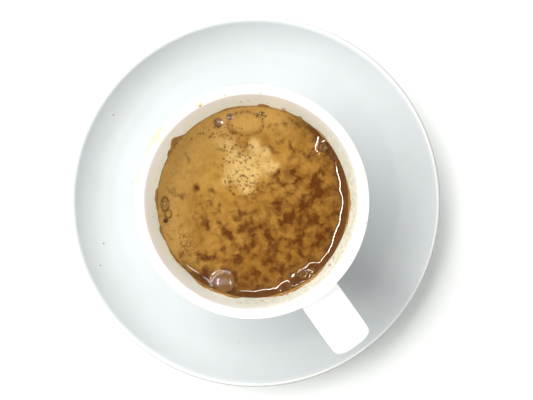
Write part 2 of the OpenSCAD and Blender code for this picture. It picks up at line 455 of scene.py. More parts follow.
class Nodes:
    """A short way to build a node material."""

    def __init__(self, name):
        self.material = bpy.data.materials.new(name)
        self.material.use_nodes = True
        self.tree = self.material.node_tree
        self.shader = self.tree.nodes["Principled BSDF"]
        self.coords = self.tree.nodes.new("ShaderNodeTexCoord").outputs["Object"]

    def link(self, source, target):
        if isinstance(source, bpy.types.NodeSocket):
            self.tree.links.new(source, target)
        else:
            target.default_value = source

    def set(self, **values):
        for name, value in values.items():
            self.link(value, self.shader.inputs[name.replace("_", " ")])

    def noise(self, size, detail=3, roughness=0.5):
        """Noise with features of about the given size in millimetres."""
        node = self.tree.nodes.new("ShaderNodeTexNoise")
        node.inputs["Scale"].default_value = 1 / (size * MM)
        node.inputs["Detail"].default_value = detail
        node.inputs["Roughness"].default_value = roughness
        self.tree.links.new(self.coords, node.inputs["Vector"])
        return node.outputs["Fac"]

    def mask(self, name):
        """Numbers that were painted on the mesh."""
        node = self.tree.nodes.new("ShaderNodeAttribute")
        node.attribute_name = name
        return node.outputs["Fac"]

    def maths(self, operation, a, b=0):
        node = self.tree.nodes.new("ShaderNodeMath")
        node.operation = operation
        self.link(a, node.inputs[0])
        self.link(b, node.inputs[1])
        return node.outputs[0]

    def ramp(self, value, low, high, start=0, end=1):
        """A smooth step of a value from one number to another."""
        node = smooth_ramp(self.tree, low, high, start, end)
        self.link(value, node.inputs["Value"])
        return node.outputs["Result"]

    def patchy(self, size, low, high, detail=3, roughness=0.5):
        """Noise that swings between two numbers."""
        return self.ramp(self.noise(size, detail, roughness), 0.3, 0.7, low, high)

    def ragged(self, name, size, depth, detail=3, roughness=0.5):
        """A painted mask whose edges noise breaks up."""
        return self.maths("ADD", self.mask(name), self.patchy(size, -depth, depth, detail, roughness))

    def layer(self, share, colour, mode="MIX"):
        """Lays a colour over the base colour."""
        base = self.shader.inputs["Base Color"]
        under = base.links[0].from_socket if base.links else tuple(base.default_value)
        self.link(self.blend(share, under, colour, mode), base)

    def blend(self, share, a, b, mode="MIX"):
        node = self.tree.nodes.new("ShaderNodeMix")
        node.data_type = "RGBA"
        node.blend_type = mode
        self.link(share, node.inputs["Factor"])
        self.link(a, node.inputs[6])
        self.link(b, node.inputs[7])
        return node.outputs[2]

    def bump(self, height, distance, strength=1):
        node = self.tree.nodes.new("ShaderNodeBump")
        node.inputs["Strength"].default_value = strength
        node.inputs["Distance"].default_value = distance * MM
        self.link(height, node.inputs["Height"])
        self.link(node.outputs["Normal"], self.shader.inputs["Normal"])


def rgb(r, g, b):
    return (r, g, b, 1)


def drink_colour(look):
    """A colour of the drink, as the shader needs it, from how it looks in bright light, 0 to 255."""
    def linear(v):
        v = v / 255
        return v / 12.92 if v <= 0.04045 else ((v + 0.055) / 1.055) ** 2.4
    return rgb(*(linear(v) / DRINK_LIGHT for v in look))


TAN_DEEP, TAN = map(drink_colour, ((158, 109, 38), (206, 158, 74)))
FROTH, PAINTED_SHORE_LIGHT = map(drink_colour, ((224, 187, 116), (231, 178, 94)))
WET_BROWN, FLECK_BROWN = map(drink_colour, ((104, 60, 20), (96, 50, 8)))
BUBBLE_BROWN, PORE_BROWN = map(drink_colour, ((98, 64, 36), (112, 70, 30)))
DRIED_DEEP, DRIED_TAN, DRIED_SPOT = map(drink_colour, ((176, 126, 58), (206, 158, 86), (126, 78, 30)))


def porcelain(name, body, cool, gloss, ripple):
    """White glaze with a hardly visible ripple, faint clouds and pin-prick specks, rough where it is bare."""
    m = Nodes(name)
    m.set(Base_Color=m.blend(m.ramp(m.noise(22, 2), 0.35, 0.65), rgb(*body), rgb(*cool)), IOR=1.5)
    specks = m.ramp(m.noise(0.55, 1), 0.80, 0.84)
    m.layer(m.maths("MULTIPLY", specks, 0.25), rgb(0.55, 0.50, 0.42))
    m.set(Roughness=m.ramp(m.mask("bare"), 0, 1, gloss, 0.8))
    m.bump(m.noise(ripple, 2), 0.02)
    return m


def cup_porcelain():
    m = porcelain("cup_glaze", (0.90, 0.90, 0.885), (0.87, 0.875, 0.865), 0.09, 9)
    broken = m.ramp(m.ramp(m.noise(1.3, 4, 0.6), 0.38, 0.62), 0, 1, 0.35, 1)
    m.layer(m.maths("MULTIPLY", m.mask("smear"), broken), rgb(0.86, 0.74, 0.34))
    film = m.maths("MULTIPLY", m.mask("film"), m.ramp(m.noise(1.6, 3, 0.6), 0.35, 0.6))
    m.layer(m.maths("MULTIPLY", film, 0.75), rgb(0.52, 0.29, 0.09))
    # Painted shade: the yellow stain turns darker and heavier towards the lower right.
    stain = m.maths("MULTIPLY", m.mask("stain"), m.ramp(m.noise(1.4, 4, 0.7), 0.34, 0.64, 0.3, 1))
    m.layer(stain, m.blend(m.mask("painted_shade_side"), rgb(0.85, 0.905, 0.80), rgb(0.59, 0.605, 0.46)))
    m.layer(m.mask("bare"), rgb(0.78, 0.76, 0.71))
    return m.material


def saucer_porcelain():
    m = porcelain("saucer_glaze", (0.565, 0.592, 0.600), (0.548, 0.575, 0.582), 0.11, 12)
    # Painted shade on the outer side of the lip and a painted highlight along its crest.
    m.layer(m.mask("painted_edge_shade"), rgb(0.36, 0.35, 0.32))
    m.layer(m.mask("painted_crest_highlight"), rgb(0.95, 0.94, 0.91))
    m.layer(m.mask("bare"), rgb(0.60, 0.59, 0.56))
    return m.material


def crema_material():
    """Tan foam: even on one side, pale where the froth gathers, clouded with dark flecks on the other."""
    m = Nodes("crema_foam")
    tone = m.ramp(m.ragged("tone", 3.5, 0.14), 0, 1)
    m.set(Base_Color=m.blend(tone, TAN_DEEP, TAN))
    m.layer(m.ramp(m.ragged("pale", 1, 0.13, 3, 0.6), 0, 1.1), FROTH)
    # Painted light: a lighter tan along the wall on the left, where the wall's shadow falls on the foam.
    m.layer(m.ramp(m.ragged("edge", 1.8, 0.1), 0, 1, 0, 0.9), PAINTED_SHORE_LIGHT)
    m.layer(m.ramp(m.ragged("band", 1.2, 0.2, 3, 0.6), 0, 1, 0, 0.92), WET_BROWN)
    fleck = m.maths("MAXIMUM", m.ragged("fleck", 0.9, 0.17, 4, 0.7), 0)
    m.layer(m.maths("MINIMUM", fleck, 1), FLECK_BROWN)
    m.layer(m.mask("pit"), BUBBLE_BROWN)
    m.layer(m.maths("MULTIPLY", m.mask("pore"), 0.85), PORE_BROWN)
    m.layer(1, m.patchy(0.45, 0.92, 1.07, 2, 0.6), "MULTIPLY")
    m.set(Roughness=0.42, IOR=1.33, Specular_IOR_Level=0.1)
    m.set(Coat_Weight=m.mask("wet"), Coat_Roughness=0.03, Coat_IOR=1.33)
    m.bump(m.noise(0.35, 2), 0.03, 0.3)
    return m.material


def espresso_material():
    m = Nodes("espresso_liquid")
    colour = m.blend(m.patchy(8, 0, 1), rgb(0.030, 0.010, 0.004), rgb(0.055, 0.018, 0.006))
    m.set(Base_Color=colour, Roughness=0.05, IOR=1.33)
    return m.material


def residue_material():
    m = Nodes("dried_crema")
    tone = m.ramp(m.noise(1.5, 3), 0.35, 0.65)
    m.set(Base_Color=m.blend(tone, DRIED_DEEP, DRIED_TAN))
    m.layer(m.ramp(m.noise(0.5, 2), 0.54, 0.66, 0, 0.8), DRIED_SPOT)
    m.set(Roughness=0.3, IOR=1.33)
    m.bump(m.noise(0.6, 2), 0.05, 0.5)
    return m.material


def drip_material():
    m = Nodes("pale_drip")
    edge = m.ramp(m.mask("edge"), 0.55, 1)
    m.set(Base_Color=m.blend(edge, rgb(0.84, 0.76, 0.40), rgb(0.50, 0.29, 0.08)))
    m.layer(m.ramp(m.noise(0.8, 2), 0.45, 0.65, 0, 0.5), rgb(0.74, 0.55, 0.20))
    m.set(Roughness=0.2, IOR=1.4)
    return m.material


def speck_material():
    m = Nodes("coffee_speck")
    colour = m.blend(m.ramp(m.noise(0.4, 2), 0.4, 0.6), rgb(0.16, 0.075, 0.03), rgb(0.30, 0.17, 0.08))
    m.set(Base_Color=colour, Roughness=0.35)
    return m.material


def bubble_material():
    """A clear film: it mirrors a little, more at its rim, and lets the rest through."""
    m = Nodes("bubble_film")
    nodes = m.tree.nodes
    tint = m.ramp(m.noise(1.2, 2), 0.35, 0.65, 0.78, 0.92)
    clear = nodes.new("ShaderNodeBsdfTransparent")
    m.link(m.blend(tint, rgb(0.80, 0.76, 0.70), rgb(1, 0.99, 0.98)), clear.inputs["Color"])
    mirror = nodes.new("ShaderNodeBsdfGlossy")
    mirror.inputs["Roughness"].default_value = 0.03
    fresnel = nodes.new("ShaderNodeFresnel")
    fresnel.inputs["IOR"].default_value = 1.24
    shader = nodes.new("ShaderNodeMixShader")
    for socket, part in enumerate((fresnel, clear, mirror)):
        m.link(part.outputs[0], shader.inputs[socket])
    m.link(shader.outputs[0], nodes["Material Output"].inputs["Surface"])
    return m.material


# ---- Cup and saucer ----

def add_cup():
    body = solid_object("cup_body", *lathe(cup_profile(), cup_angles()))
    strap = solid_object("cup_strap", *swept(strap_rings()))
    mesh = joined_mesh(body, strap)
    for part in (body, strap):
        bpy.data.objects.remove(part)
    cup = smooth_object("porcelain_cup", mesh)
    x, y, z = places(mesh)
    paint(mesh, "smear", lip_stain(x, y, z))
    paint(mesh, "film", wall_film(x, y, z))
    # A yellow stain on the inner wall, with painted shade that darkens it towards the lower right.
    paint(mesh, "stain", wall_stain_and_shade(x, y, z))
    paint(mesh, "painted_shade_side", painted_shade_side(x, y))
    paint(mesh, "bare", fade(CUP_Z + 0.25, CUP_Z + 0.1, z))
    finish_piece(cup, cup_porcelain(), "porcelain", "cup")
    return cup


def saucer_profile():
    well_z = SAUCER_RECESS + SAUCER_T
    hollow_round = np.array([WELL_R, well_z + WELL_ROUND])
    start = hollow_round + WELL_ROUND * polar(WELL_SLOPE - 90)
    full_z = well_z + WELL_DEPTH - WELL_ROUND * polar(WING_TILT)[0]
    slope_z = full_z + WELL_ROUND * polar(90 + WELL_SLOPE)[1]
    slope_r = start[0] + (slope_z - start[1]) / math.tan(math.radians(WELL_SLOPE))
    full_round = np.array([slope_r - WELL_ROUND * polar(90 + WELL_SLOPE)[0], full_z])
    wing_start = full_round + WELL_ROUND * polar(90 + WING_TILT)

    lip = SAUCER_LIP_T / 2
    sin_edge, sin_wing = polar(EDGE_TILT)[1], polar(WING_TILT)[1]
    end_r = SAUCER_R - lip * (1 + sin_edge)
    start_r = end_r - EDGE_R * (sin_edge - sin_wing)
    start_z = wing_start[1] + (start_r - wing_start[0]) * math.tan(math.radians(WING_TILT))
    centre = np.array([start_r, start_z]) + EDGE_R * polar(90 + WING_TILT)
    lip_mid = centre + (EDGE_R + lip) * polar(EDGE_TILT - 90)
    under = centre + (EDGE_R + SAUCER_T) * polar(WING_TILT - 90)

    def under_z(r):
        return under[1] - (under[0] - r) * math.tan(math.radians(WING_TILT))

    ring_in = SAUCER_FOOT_R - SMALL_ROUND - SAUCER_FOOT_W
    wing_end = np.array([start_r, start_z])
    edge_under = []
    for i in range(EDGE_STEPS + 1):
        thick = mix(SAUCER_LIP_T, SAUCER_T, i / EDGE_STEPS)
        edge_under.append(centre + (EDGE_R + thick) * polar(mix(EDGE_TILT, WING_TILT, i / EDGE_STEPS) - 90))
    ring_r = SAUCER_FOOT_R + RING_ROUND
    top = (
        [np.array([WELL_R * i / WELL_STEPS, well_z]) for i in range(WELL_STEPS)]
        + arc(hollow_round, WELL_ROUND, -90, WELL_SLOPE - 90, ROUND_STEPS)
        + arc(full_round, WELL_ROUND, 90 + WELL_SLOPE, 90 + WING_TILT, ROUND_STEPS)
        + [mix(wing_start, wing_end, i / WING_STEPS) for i in range(1, WING_STEPS)]
        + arc(centre, EDGE_R, WING_TILT - 90, EDGE_TILT - 90, EDGE_STEPS)
        + arc(lip_mid, lip, 90 + EDGE_TILT, EDGE_TILT - 90, LIP_STEPS)[1:-1]
        + edge_under
        + arc([ring_r, under_z(ring_r) - RING_ROUND], RING_ROUND, 90, 180, ROUND_STEPS)
        + arc([SAUCER_FOOT_R - SMALL_ROUND, SMALL_ROUND], SMALL_ROUND, 0, -90, ROUND_STEPS)
        + arc([ring_in + 0.3, 0.3], 0.3, 270, 200, ROUND_STEPS)
        + [np.array([ring_in - 0.9, SAUCER_RECESS]), np.array([ring_in - 3, SAUCER_RECESS])]
        + [np.array([0, SAUCER_RECESS])]
    )
    return top[::-1]


def add_saucer():
    angles = np.linspace(0, math.tau, SAUCER_TURNS, endpoint=False)
    body = lathe(saucer_profile(), angles)
    saucer = make_piece("porcelain_saucer", *body, saucer_porcelain(), "porcelain", "saucer")
    x, y, z = places(saucer.data)
    paint(saucer.data, "bare", fade(0.25, 0.1, z))
    from_edge = SAUCER_R - np.hypot(x, y)
    # A painted highlight along the lip's crest and painted shade on its outer side.
    paint(saucer.data, "painted_crest_highlight", ridge(from_edge, 1, 0.34) * (z > saucer_high[2] - 1.4))
    paint(saucer.data, "painted_edge_shade", 0.8 * fade(0.62, 0.3, from_edge))
    return saucer


# ---- The drink's surface ----

# About the drink's radius, for measures across it.
DRINK_R = 26.0
# Pale froth: soft discs as (right, up, reach).
PALE = [
    (-5.4, 8.8, 4.4), (-1.2, 7.4, 4.8), (3.2, 9.2, 3.7), (-2, 3.6, 3.2), (-5.8, 13.4, 3.6), (0, 13.8, 4),
    (6.4, 10.2, 2.3), (-6.8, 17.2, 2.6), (4, 14.2, 2.2), (-8.2, 5.6, 1.8), (-9.6, 16.8, 2.4),
    (0.4, 16.6, 2.2),
]
# A smooth round pool among the bubbles: right, up, half its width and half its height.
POOL = (-2, 21.9, 4.5, 3)
# Dark flecks: (right, up, half width, half height, strength).
FLECKS = [
    (9.9, 8.6, 1.9, 2.1, 1.2), (8.8, 5.2, 1.6, 1.1, 0.9), (5, 4.6, 1.6, 1.2, 0.6), (17, 5.2, 1.8, 2.4, 1),
    (13.6, 4.8, 1.6, 1.2, 0.6), (6.9, -0.2, 1.8, 1.1, 0.9), (9.2, -4.4, 1.8, 1.7, 1),
    (14.2, -0.4, 2.4, 2.4, 1), (16.6, 1.8, 2.4, 1.8, 0.55), (14.4, -4.8, 2.2, 1.8, 1),
    (17.8, -5.4, 1.8, 1.6, 0.9), (12.8, -8.6, 2, 1.4, 0.8), (2.4, -7.6, 2.2, 1.2, 0.9),
    (-2.4, -3.2, 2.4, 1.1, 1.4), (-0.2, -4, 1.4, 0.9, 0.9), (-6.8, -9.6, 2.4, 1.8, 1.1),
    (-4, -7.6, 1.4, 1.6, 0.7), (-9.2, -5.8, 1, 1.1, 1.3), (-5.4, -16.4, 2, 1.4, 1), (-2, -13, 2, 0.9, 0.6),
    (0.8, -18.4, 2.2, 2.2, 0.2), (20.6, 0.4, 2.6, 3, -0.6), (17, -9.6, 1.8, 1.6, 0.9),
    (5.6, -15.4, 0.9, 2.2, 0.7), (8, -14.4, 0.9, 2.4, 0.7), (20, -9.4, 2, 2.6, 0.9),
    (16, -12.6, 2.2, 1.8, 0.8), (-15.7, 4.3, 1.4, 1.3, 2), (-10.8, 2.8, 1.6, 1, 1.5),
    (-21.9, 3.2, 0.9, 2, 1.2), (-19.8, 1.4, 1.3, 1, 1.5), (-14.4, 1.8, 1, 0.8, 1.3),
    (-17.2, -1.4, 1.4, 0.8, 1.2), (-14.4, -4.4, 2.6, 1, 1.5), (-10, -3.4, 1.2, 0.9, 1.4),
    (-9.4, -0.4, 0.9, 1.6, 1.5), (-16.2, -7, 1.1, 1, 1), (-12, -0.9, 1, 0.7, 1.2),
    (-8, -13.6, 1.6, 1.4, -0.9), (-14.6, -20.4, 2, 1.2, 1.1), (-12.6, -18.6, 1.6, 1, 0.6),
    (3.4, -21.4, 3.2, 1.6, 0.9), (-2.6, -20.4, 1.2, 1.8, 0.6), (11.6, 14.6, 2.4, 2.8, 0.15),
    (19.6, 8, 1.2, 1, 0.6), (-21.4, -7, 1.6, 1.6, 0.5), (4.2, 0.6, 1.2, 0.8, 0.4),
    (19.6, -2.6, 1.4, 2, 0.3),
]
# Where bubbles crowd, the surface rises as at the wall: (right, up, radius, how dark it is round them).
HEAPS = [
    (13.5, -22.5, 2.2, 0.9), (16.2, -21.2, 2, 0.9), (18.6, -20, 1, 0.7), (10.2, -24.9, 1.2, 0.9),
    (-8.3, -23.2, 2.3, 0.3), (20.2, 16.8, 0.8, 0.25), (20, 15.2, 0.8, 0.25), (20.2, 13.6, 0.8, 0.25),
    (-24.8, -4.6, 0.6, 0.2),
]
HEAP_BLEND = 0.7
HEAP_H = 0.8
# Thin dark outlines of flat bubbles: (right, up, half width, half height, strength).
LOOPS = [
    (-24.6, -0.7, 1, 1.9, 0.8), (-23.7, -3.4, 0.9, 1.2, 0.8), (16.5, 17.3, 0.7, 0.7, 0.5),
    (-15.6, -4.2, 1.2, 0.8, 0.35), (-18.4, -9.4, 0.7, 0.6, 0.35), (-19.6, -11.6, 0.7, 0.8, 0.3),
    (-18, -12, 0.6, 0.7, 0.4), (-17.2, -10.4, 0.6, 0.5, 0.3), (-18.8, -13.8, 0.7, 0.6, 0.35),
    (-17, -14, 0.6, 0.7, 0.3), (-13.6, -1, 0.8, 1, 0.25), (-16.4, -12.2, 0.5, 0.6, 0.3),
    (-20.2, -8.4, 0.6, 0.7, 0.3), (18.4, -3.8, 1.3, 1.1, 0.3),
]
# Bubbles: (right, up, radius, height of the dome against its radius, how dark it is inside).
BUBBLES = [
    (-9.7, 22.2, 1.3, 0.35, 0.55), (-6.5, 23.8, 0.85, 0.45, 0.75), (19.5, 15.2, 1.45, 0.6, 0.35),
    (16.6, 17.2, 0.44, 0.7, 0.6), (16.6, 13.4, 0.48, 0.7, 0.7), (-8.2, -23, 3, 0.5, 0.22),
    (-11.8, -23.4, 0.6, 0.6, 0.5), (-4.4, -25.3, 0.7, 0.6, 0.6), (14.2, -20.5, 1.35, 0.5, 0.4),
    (10.4, -23.4, 1.05, 0.5, 0.6), (8, -24.7, 0.85, 0.5, 0.7), (16.8, -19.4, 0.95, 0.5, 0.5),
    (12.3, -20.4, 0.5, 0.6, 0.6), (10.2, -20, 0.32, 0.7, 0.8), (18.7, -18.2, 0.5, 0.7, 0.6),
    (12.5, -23, 0.5, 0.7, 0.6), (15.8, -21.6, 0.45, 0.7, 0.6), (-24.4, -5.3, 0.66, 0.6, 1),
    (-24.6, -0.7, 1.1, 0.35, 0.25), (21.9, 13.4, 0.5, 0.6, 0.7), (22.5, 11.8, 0.45, 0.6, 0.9),
    (23.6, 9.9, 0.4, 0.6, 0.9), (2.3, 24.7, 0.5, 0.5, 1), (-17.2, 17.6, 0.3, 0.5, 0.6),
]
# Small open pores, drawn at random: (right, up, half width, half height, how many, smallest, largest radius).
PORES = [
    (-3, 5.2, 5, 4, 66, 0.23, 0.44), (-4.6, 14.4, 5.2, 3.6, 48, 0.23, 0.42),
    (-9.4, 19.4, 5.6, 2, 32, 0.23, 0.46), (-4.8, 19.4, 2, 2.4, 12, 0.24, 0.46),
    (2.4, 24.4, 1.8, 0.9, 6, 0.28, 0.48), (-1, 10, 8, 6, 54, 0.21, 0.30),
    (-18.6, -11.6, 2.2, 3.8, 40, 0.18, 0.34), (-14.2, -2.6, 2.8, 2.2, 14, 0.18, 0.32),
    (3, 18.6, 5, 3, 12, 0.18, 0.30), (10, 22.2, 3.4, 0.9, 9, 0.19, 0.36),
    (20.2, 12.6, 2.6, 3.6, 18, 0.18, 0.36), (0, 0, 24, 24, 40, 0.17, 0.23),
    (-17.6, 18.4, 3.4, 1.6, 9, 0.20, 0.34),
]
# Pores round the pool: how many, smallest and largest radius.
POOL_PORES = (26, 0.21, 0.40)
# Cells along each side of the surface's grid, and rows of faces down the crema's side.
CREMA_GRID, CREMA_SIDE_STEPS = 304, 4
REACH_INTO_WALL = 0.02
# How far clouds bend the flecks, how wide an outline is, and how large a bubble is that bends the surface.
FLECK_DRIFT, LOOP_W, SMALL_BUBBLE = 0.7, 0.26, 1.2


def disc_grid(n):
    """An even grid of points over a disc of radius 1, and its faces."""
    a, b = [g.ravel() for g in np.meshgrid(np.linspace(-1, 1, n + 1), np.linspace(-1, 1, n + 1))]
    wide = np.abs(a) > np.abs(b)
    big, small = np.where(wide, a, b), np.where(wide, b, a)
    share = np.divide(small, big, out=np.zeros_like(small), where=big != 0)
    angle = np.where(wide, math.pi / 4 * share, math.pi / 2 - math.pi / 4 * share)
    i, j = [g.ravel() for g in np.meshgrid(np.arange(n), np.arange(n))]
    corner = j * (n + 1) + i
    faces = np.stack([corner, corner + 1, corner + n + 2, corner + n + 1], 1)
    return big * np.cos(angle), big * np.sin(angle), faces.tolist()


def oval(right, up, mark):
    """Distance from a mark's middle, 1 at its edge."""
    return np.hypot((right - mark[0]) / mark[2], (up - mark[1]) / mark[3])


def heap_distance(right, up):
    """How far each place lies from the nearest heap of bubbles, blended where heaps meet."""
    near = sum(np.exp(-(np.hypot(right - x, up - y) - r) / HEAP_BLEND) for x, y, r, _ in HEAPS)
    return -HEAP_BLEND * np.log(near)


def heap_darkness(right, up):
    """How far each place lies in the dark wet foam round a heap of bubbles."""
    return np.max([dark * fade(2.6, 0.6, np.hypot(right - x, up - y) - r) for x, y, r, dark in HEAPS], axis=0)


def draw_pores(rng):
    """Every pore as right, up and radius."""
    spots = []
    for *area, count, small, large in PORES:
        for _ in range(count):
            r, turn = math.sqrt(rng.random()), rng.random() * math.tau
            spots.append((*area, r, turn, mix(small, large, rng.random() ** 2)))
    count, small, large = POOL_PORES
    for i in range(count):
        turn = (i + rng.random()) / count * math.tau
        spots.append((*POOL, 1.02 + 0.16 * rng.random(), turn, mix(small, large, rng.random() ** 2)))
    pores = []
    for right, up, half_w, half_h, r, turn, size in spots:
        x, y = right + half_w * r * math.cos(turn), up + half_h * r * math.sin(turn)
        if math.hypot(x, y) + size < float(hollow_r(CREMA_Z)) - 0.6:
            pores.append((x, y, size))
    return pores


def climb_at(x, y):
    """How far the crema climbs the wall at each bearing."""
    r = np.maximum(np.hypot(x, y), 1e-6)
    return MENISCUS_H * np.minimum(1, 0.93 + 0.25 * cloud(x / r * DRINK_R, y / r * DRINK_R, 7, 3, 2))


def rise(gap, heap, climb):
    """The surface's height above its level, against the wall and the heaps of bubbles."""
    wall = climb * np.exp(-gap / MENISCUS_RUN)
    pile = HEAP_H * climb * np.exp(-0.5 * (heap + np.sqrt(heap ** 2 + 0.8)) / MENISCUS_RUN)
    return (wall ** 3 + pile ** 3) ** (1 / 3)


def froth(x, y, right, up, pool):
    """Where the foam is pale: soft discs with cloudy edges, and the middle of the pool."""
    pale = sum(np.exp(-1.5 * (np.hypot(right - px, up - py) / reach) ** 2) for px, py, reach in PALE)
    pale = fade(0.05, 1.8, pale + 0.38 * cloud(x, y, 3, 11, 4))
    return np.maximum(pale * fade(0.85, 1.15, pool), 0.42 * fade(1, 0.3, pool))


def dark_flecks(x, y, right, up, gap, down, pale, pool):
    """Soft clouds, thick towards the lower right and few in the upper left, and thin outlines."""
    drift_x = x + FLECK_DRIFT * cloud(x, y, 2.2, 61, 2)
    drift_y = y + FLECK_DRIFT * cloud(x, y, 2.2, 67, 2)
    blotch = 0.70 * cloud(drift_x, drift_y, 3.8, 21, 3) + 0.60 * cloud(drift_x, drift_y, 1.7, 29, 3)
    bias = mix(-0.55, 0.22, fade(-0.60, 0.42, down)) - 0.45 * pale
    for mark in FLECKS:
        bias = bias + 0.45 * mark[4] * ridge(oval(right, up, mark), 0, 1)
    fleck = np.clip(blotch + bias + 0.24, 0, 1) * fade(0.3, 1.6, gap)
    for mark in LOOPS:
        fleck = np.maximum(fleck, mark[4] * ridge(oval(right, up, mark), 1, LOOP_W / min(mark[2:4])))
    return np.maximum(fleck, 0.28 * ridge(pool, 1.08, 0.18))


def wet_band(x, y, right, up, gap, wet_side):
    """Where thin foam lets the coffee show: along the wall and round heaps of bubbles."""
    ragged = 1 + 0.3 * cloud(x, y, 5, 31, 3)
    band = fade(1.15, 0.45, gap / (2.8 * ragged)) * wet_side
    band = np.maximum(band, heap_darkness(right, up))
    return np.maximum(band, fade(0.55, 0.1, gap) * mix(0.5, 0.9, wet_side))


def press_pores(right, up, height):
    """Presses the pores into the surface and tells how deep in a pore each place lies."""
    pore = np.zeros_like(height)
    for px, py, size in draw_pores(np.random.default_rng(12)):
        near = (np.abs(right - px) < 2 * size) & (np.abs(up - py) < 2 * size)
        dip = fade(1.35, 0.3, np.hypot(right[near] - px, up[near] - py) / size)
        pore[near] = np.maximum(pore[near], dip * min(1, 0.3 + 2.0 * size))
        height[near] -= 0.3 * size * dip
    return pore


def crema_fields(x, y, gap, climb):
    """Height of the crema's surface above its level, and the masks that its material reads."""
    right, up = to_view(x, y)
    side = (right * 0.80 - up * 0.60) / DRINK_R
    down = (right * 0.74 - up * 0.67) / DRINK_R
    heap = heap_distance(right, up)
    pool = oval(right, up, POOL)
    height = rise(gap, heap, climb) + 0.05 * cloud(x, y, 9, 1, 2) + 0.016 * cloud(x, y, 3.4, 5, 2)
    height += 0.08 * fade(1, 0.6, pool) - 0.05 * ridge(pool, 1.05, 0.12)

    pale = froth(x, y, right, up, pool)
    fleck = dark_flecks(x, y, right, up, gap, down, pale, pool)
    band = wet_band(x, y, right, up, gap, fade(-0.45, 0.25, side))
    pore = press_pores(right, up, height)
    pit = np.zeros_like(x)
    for px, py, size, _, dark in BUBBLES:
        d = np.hypot(right - px, up - py) / size
        if size > SMALL_BUBBLE:
            height += 0.02 * ridge(d, 1.1, 0.12) - 0.25 * size * fade(1.02, 0.5, d)
        pit = np.maximum(pit, dark * fade(1.04, 0.86, d))
        pit = np.maximum(pit, min(1, dark + 0.10) * ridge(d, 0.94, 0.12))
        fleck = fleck * fade(0.85, 1.15, d)
        band = band * mix(0.25, 1, fade(0.8, 1.1, d))

    wet = fade(4.2, 3.2, np.minimum(gap, heap + 0.4)) * mix(0.3, 1, fade(-0.5, 0, side))
    tone = 0.37 + 0.27 * fade(14, 3, np.hypot(right + 15.5, up - 11))
    tone = tone - 0.34 * fade(-0.1, 0.8, down) + 0.16 * cloud(x, y, 9, 41, 2)
    return height, {
        "tone": tone, "pale": pale, "fleck": fleck, "band": band, "pore": pore, "pit": pit,
        # Painted light along the wall on the left, where the wall's shadow falls on the foam.
        "edge": fade(12, 2, gap) * fade(0.1, -0.6, side),
        "wet": wet * fade(0.3, 0, pore),
    }


def crema_level(right, up):
    """The surface's height at one place, without pores and bubbles."""
    gap = float(hollow_r(CREMA_Z)) - math.hypot(right, up)
    return CREMA_Z + float(rise(gap, heap_distance(right, up), MENISCUS_H))


def add_crema():
    """The foam as one closed body: its uneven surface, a side against the wall and a flat bottom."""
    u, v, faces = disc_grid(CREMA_GRID)
    reach = np.hypot(u, v)
    angle = np.arctan2(v, u)
    climb = climb_at(np.cos(angle), np.sin(angle))
    edge_r = hollow_r(CREMA_Z + climb) + REACH_INTO_WALL
    x, y = edge_r * u, edge_r * v
    height, masks = crema_fields(x, y, edge_r * (1 - reach), climb)
    z = CREMA_Z + height
    border = np.flatnonzero(reach > 1 - 1e-9)
    ring = border[np.argsort(angle[border])]
    z[ring] = CREMA_Z + climb[ring]
    verts = np.stack([x, y, z], 1)

    rings = [ring.tolist()]
    for i in range(1, CREMA_SIDE_STEPS + 1):
        low_z = mix(z[ring], COFFEE_TOP, i / CREMA_SIDE_STEPS)
        r = hollow_r(low_z) + REACH_INTO_WALL
        rings.append(list(range(len(verts), len(verts) + len(ring))))
        low = np.stack([r * np.cos(angle[ring]), r * np.sin(angle[ring]), low_z], 1)
        verts = np.concatenate([verts, low])
    rings.append([len(verts)])
    verts = np.concatenate([verts, [[0, 0, COFFEE_TOP]]])
    faces += faces_between(rings, len(ring), inward=True)

    crema = make_piece("crema_foam", verts, faces, crema_material(), "crema", "crema")
    extra = np.zeros(len(verts) - len(x))
    for name, values in masks.items():
        paint(crema.data, name, np.concatenate([values, extra]))
    return crema


# ---- Bubbles ----

BUBBLE_FILM = 0.05


def dome(right, up, z, size, tall, turns=32, steps=10):
    """A thin closed film over a bubble: an outer and an inner cap joined at the rim."""
    x0, y0 = from_view(right, up)
    rings = []
    for shrink, order in ((0, range(steps, -1, -1)), (BUBBLE_FILM, range(steps + 1))):
        for k in order:
            a = math.pi / 2 * k / steps
            r = (size - shrink) * math.sin(a)
            h = (size * tall - shrink) * math.cos(a)
            ring = [math.tau * j / turns for j in range(turns if k else 1)]
            rings.append([[x0 + r * math.cos(t), y0 + r * math.sin(t), z + h] for t in ring])
    verts, rings = numbered(rings)
    return verts, faces_between(rings + rings[:1], turns)


def gather(parts):
    """Many small meshes as one list of points and one of faces."""
    verts, faces = [], []
    for part_verts, part_faces in parts:
        base = len(verts)
        verts += [list(p) for p in part_verts]
        faces += [[base + i for i in f] for f in part_faces]
    return verts, faces


def add_bubbles():
    parts = []
    for right, up, size, tall, _ in BUBBLES:
        parts.append(dome(right, up, crema_level(right, up) - 0.05, size, tall))
    return make_piece("bubbles", *gather(parts), bubble_material(), "crema")


# ---- Residue, drips and specks ----

# Crema left on the wall above the drink: (first bearing, last bearing, height above the level).
WALL_RESIDUE = [
    (190, 207, 4.6), (134, 142, 2.6), (113, 117, 1.8), (226, 240, 2.4), (249, 258, 2), (284, 318, 3.2),
    (332, 374, 3.4), (34, 68, 2), (150, 166, 1), (90, 104, 1.2), (262, 278, 1.2), (120, 128, 1),
]
FILM_T = 0.16
SLAB_ROWS = 14


def slab(across, points):
    """A closed skin: points(u, v) gives its front and its back point at a share across and a share up."""
    rings = []
    for i in range(across + 1):
        front, back = zip(*[points(i / across, j / SLAB_ROWS) for j in range(SLAB_ROWS + 1)])
        rings.append([*front, *back[::-1]])
    verts, rings = numbered(rings)
    faces = faces_between(rings, len(rings[0]))
    for ring, order in ((rings[0], -1), (rings[-1], 1)):
        faces += [[ring[j], ring[j + 1], ring[-2 - j], ring[-1 - j]][::order] for j in range(SLAB_ROWS)]
    return verts, faces


